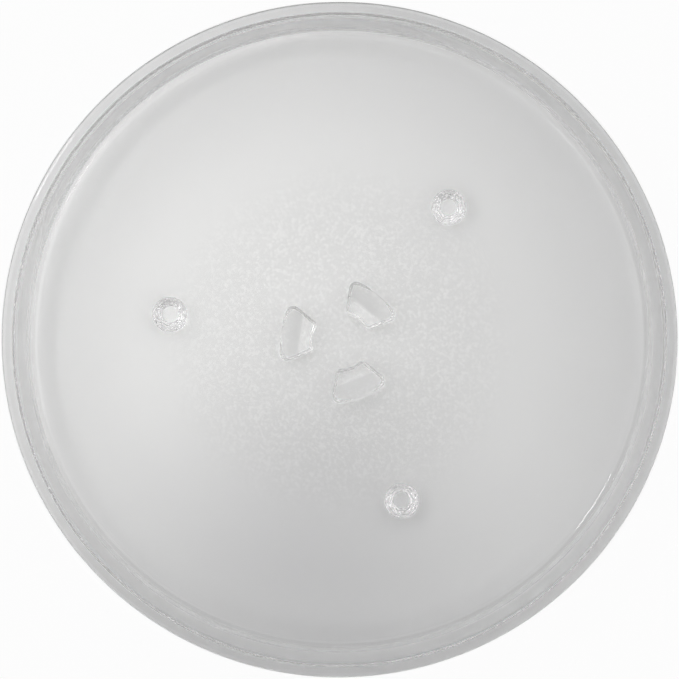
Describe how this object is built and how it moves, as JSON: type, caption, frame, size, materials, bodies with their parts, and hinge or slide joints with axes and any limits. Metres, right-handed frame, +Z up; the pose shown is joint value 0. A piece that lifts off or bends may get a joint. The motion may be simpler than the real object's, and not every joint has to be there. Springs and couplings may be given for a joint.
{
  "type": "microwave turntable plate",
  "caption": "Round clear glass dish with a flat floor and a lipped rim; drive lugs and blunt feet underneath let an oven's coupler and roller ring carry and turn it.",
  "frame": {"origin": "on the plate's axis, at the level of the ends of its feet", "axes": "+Z up along the plate's axis, out of the dish; +Y through one drive lug and one foot"},
  "size_m": [0.2858, 0.2858, 0.0205],
  "materials": {
    "clear_glass": "clear pressed glass, fire-polished, with a faint stipple near the centre"
  },
  "bodies": {
    "root": {"glass_plate": "clear_glass"}
  },
  "joints": []
}
